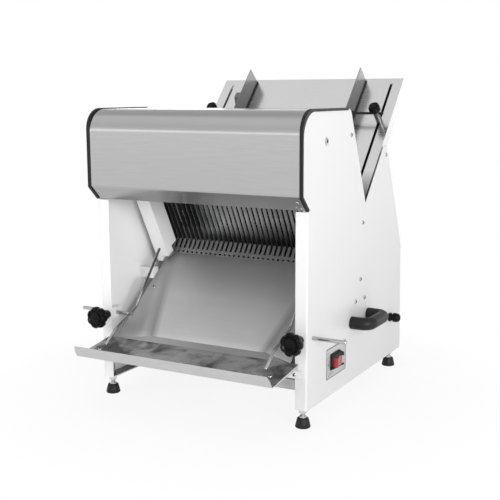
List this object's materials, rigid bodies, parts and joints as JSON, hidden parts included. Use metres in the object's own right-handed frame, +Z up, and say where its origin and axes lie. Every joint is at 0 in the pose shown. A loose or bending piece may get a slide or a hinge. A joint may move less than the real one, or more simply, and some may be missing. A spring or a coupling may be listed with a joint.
{
  "type": "bench bread slicer",
  "caption": "Bench bread slicer with sloping infeed tray, reciprocating blade frames under a rounded steel hood, discharge chute, crumb ledge and adjustable side guides.",
  "frame": {"origin": "middle of the whole object's box, on the bench surface under the feet", "axes": "+X to the operator's right, +Y to the back (the loaf goes in at the back and comes out at the front), +Z up"},
  "size_m": [0.618, 0.6582, 0.6917],
  "materials": {
    "white_coat": "white powder coat, semi-gloss",
    "brushed_stainless": "brushed stainless steel",
    "plain_steel": "machined or rolled steel",
    "black_plastic": "black moulded plastic",
    "nylon": "natural nylon",
    "aluminium": "cast or extruded aluminium",
    "rubber": "black rubber",
    "cast_iron": "cast iron",
    "black_steel": "black coated steel",
    "red_plastic": "glossy red plastic",
    "plated_steel": "bright plated steel",
    "control_plate": "satin aluminium plate, bare",
    "motor_paint": "grey paint"
  },
  "bodies": {
    "housing": {"base_plate": "plain_steel", "cable_gland": "black_plastic", "carry_handles": "black_plastic", "control_plate": "control_plate", "crumb_ledge": "brushed_stainless", "discharge_chute": "brushed_stainless", "drive_belt": "rubber", "foot_lock_nuts": "plated_steel", "guide_brackets": "nylon", "guide_channels": "white_coat", "handle_bolts": "plated_steel", "hood_cover": "brushed_stainless", "hood_trims": "black_plastic", "infeed_tray": "brushed_stainless", "ledge_brackets": "brushed_stainless", "motor_body": "motor_paint", "motor_fan_cover": "motor_paint", "nylon_spacers": "nylon", "panel_screws": "plated_steel", "rear_cover": "white_coat", "rear_rails": "white_coat", "rod_clamps": "nylon", "shaft_bearings": "cast_iron", "side_panel_left": "white_coat", "side_panel_right": "white_coat", "slide_pads": "nylon", "switch_guard": "black_plastic", "tie_bar": "brushed_stainless"},
    "blade_frame_front": {"blade_frame_front": "aluminium", "blades_front": "plain_steel"},
    "blade_frame_rear": {"blade_frame_rear": "aluminium", "blades_rear": "plain_steel"},
    "drive_shaft": {"eccentric_shaft": "plain_steel", "eccentric_sheaves": "cast_iron", "driven_pulley": "aluminium"},
    "rods_front": {"connecting_rods_front": "aluminium"},
    "rods_rear": {"connecting_rods_rear": "aluminium"},
    "motor_rotor": {"motor_shaft": "plain_steel", "motor_pulley": "aluminium"},
    "outfeed_guide_left": {"wire_guide_left": "brushed_stainless"},
    "outfeed_knob_left": {"outfeed_knob_left": "black_plastic"},
    "infeed_post_left": {"infeed_post_left": "brushed_stainless"},
    "infeed_guide_left": {"infeed_guide_left": "brushed_stainless", "infeed_strip_left": "black_plastic", "infeed_rod_left": "black_steel", "infeed_grip_block": "black_plastic"},
    "infeed_knob_left": {"infeed_knob_left": "black_plastic"},
    "outfeed_guide_right": {"wire_guide_right": "brushed_stainless"},
    "outfeed_knob_right": {"outfeed_knob_right": "black_plastic"},
    "infeed_post_right": {"infeed_post_right": "brushed_stainless"},
    "infeed_guide_right": {"infeed_guide_right": "brushed_stainless", "infeed_strip_right": "black_plastic", "infeed_rod_right": "black_steel"},
    "infeed_knob_right": {"infeed_knob_right": "black_plastic"},
    "switch_rocker": {"switch_rocker": "red_plastic"},
    "foot_front_left": {"foot_front_left": "rubber"},
    "foot_front_right": {"foot_front_right": "rubber"},
    "foot_rear_left": {"foot_rear_left": "rubber"},
    "foot_rear_right": {"foot_rear_right": "rubber"}
  },
  "joints": [
    {"name": "front_frame_stroke", "type": "slide", "parent": "housing", "child": "blade_frame_front", "axis": [0, -0.4756, 0.8796], "range_m": [-0.018, 0.018]},
    {"name": "rear_frame_stroke", "type": "slide", "parent": "housing", "child": "blade_frame_rear", "axis": [0, -0.4756, 0.8796], "range_m": [-0.018, 0.018]},
    {"name": "drive_shaft_turn", "type": "hinge", "parent": "housing", "child": "drive_shaft", "pos_m": [0, 0.12557, 0.11037], "axis": [1, 0, 0], "continuous": true},
    {"name": "front_rods_turn", "type": "hinge", "parent": "drive_shaft", "child": "rods_front", "pos_m": [0, 0.10974, 0.10181], "axis": [1, 0, 0], "continuous": true},
    {"name": "rear_rods_turn", "type": "hinge", "parent": "drive_shaft", "child": "rods_rear", "pos_m": [0, 0.1414, 0.11893], "axis": [1, 0, 0], "continuous": true},
    {"name": "motor_turn", "type": "hinge", "parent": "housing", "child": "motor_rotor", "pos_m": [0, 0.23923, 0.112], "axis": [1, 0, 0], "continuous": true},
    {"name": "outfeed_guide_shift_left", "type": "slide", "parent": "housing", "child": "outfeed_guide_left", "axis": [-1, 0, 0], "range_m": [-0.068, 0.015]},
    {"name": "outfeed_knob_turn_left", "type": "hinge", "parent": "housing", "child": "outfeed_knob_left", "pos_m": [-0.225, -0.24377, 0.175], "axis": [0, -1, 0], "range_deg": [0, 270]},
    {"name": "infeed_post_shift_left", "type": "slide", "parent": "housing", "child": "infeed_post_left", "axis": [0, 0.6717, 0.7408], "range_m": [-0.06, 0.1]},
    {"name": "infeed_guide_shift_left", "type": "slide", "parent": "infeed_post_left", "child": "infeed_guide_left", "axis": [-1, 0, 0], "range_m": [-0.008, 0.04]},
    {"name": "infeed_knob_turn_left", "type": "hinge", "parent": "infeed_post_left", "child": "infeed_knob_left", "pos_m": [-0.208, 0.20136, 0.59949], "axis": [0, -0.7408, 0.6717], "range_deg": [0, 270]},
    {"name": "outfeed_guide_shift_right", "type": "slide", "parent": "housing", "child": "outfeed_guide_right", "axis": [1, 0, 0], "range_m": [-0.068, 0.015]},
    {"name": "outfeed_knob_turn_right", "type": "hinge", "parent": "housing", "child": "outfeed_knob_right", "pos_m": [0.225, -0.24377, 0.175], "axis": [0, -1, 0], "range_deg": [0, 270]},
    {"name": "infeed_post_shift_right", "type": "slide", "parent": "housing", "child": "infeed_post_right", "axis": [0, 0.6717, 0.7408], "range_m": [-0.06, 0.1]},
    {"name": "infeed_guide_shift_right", "type": "slide", "parent": "infeed_post_right", "child": "infeed_guide_right", "axis": [1, 0, 0], "range_m": [-0.008, 0.04]},
    {"name": "infeed_knob_turn_right", "type": "hinge", "parent": "infeed_post_right", "child": "infeed_knob_right", "pos_m": [0.208, 0.20136, 0.59949], "axis": [0, -0.7408, 0.6717], "range_deg": [0, 270]},
    {"name": "rocker_tilt", "type": "hinge", "parent": "housing", "child": "switch_rocker", "pos_m": [0.2478, -0.07927, 0.106], "axis": [0, 0, 1], "range_deg": [-16, 0]},
    {"name": "foot_turn_front_left", "type": "hinge", "parent": "housing", "child": "foot_front_left", "pos_m": [-0.226, -0.19477, 0.02], "axis": [0, 0, 1], "continuous": true},
    {"name": "foot_turn_front_right", "type": "hinge", "parent": "housing", "child": "foot_front_right", "pos_m": [0.226, -0.19477, 0.02], "axis": [0, 0, 1], "continuous": true},
    {"name": "foot_turn_rear_left", "type": "hinge", "parent": "housing", "child": "foot_rear_left", "pos_m": [-0.226, 0.27283, 0.02], "axis": [0, 0, 1], "continuous": true},
    {"name": "foot_turn_rear_right", "type": "hinge", "parent": "housing", "child": "foot_rear_right", "pos_m": [0.226, 0.27283, 0.02], "axis": [0, 0, 1], "continuous": true}
  ],
  "couplings": [
    {"joint": "rear_frame_stroke", "follows": "front_frame_stroke", "ratio": -1},
    {"joint": "front_rods_turn", "follows": "drive_shaft_turn", "ratio": -1},
    {"joint": "rear_rods_turn", "follows": "drive_shaft_turn", "ratio": -1},
    {"joint": "motor_turn", "follows": "drive_shaft_turn", "ratio": 2.6744}
  ]
}
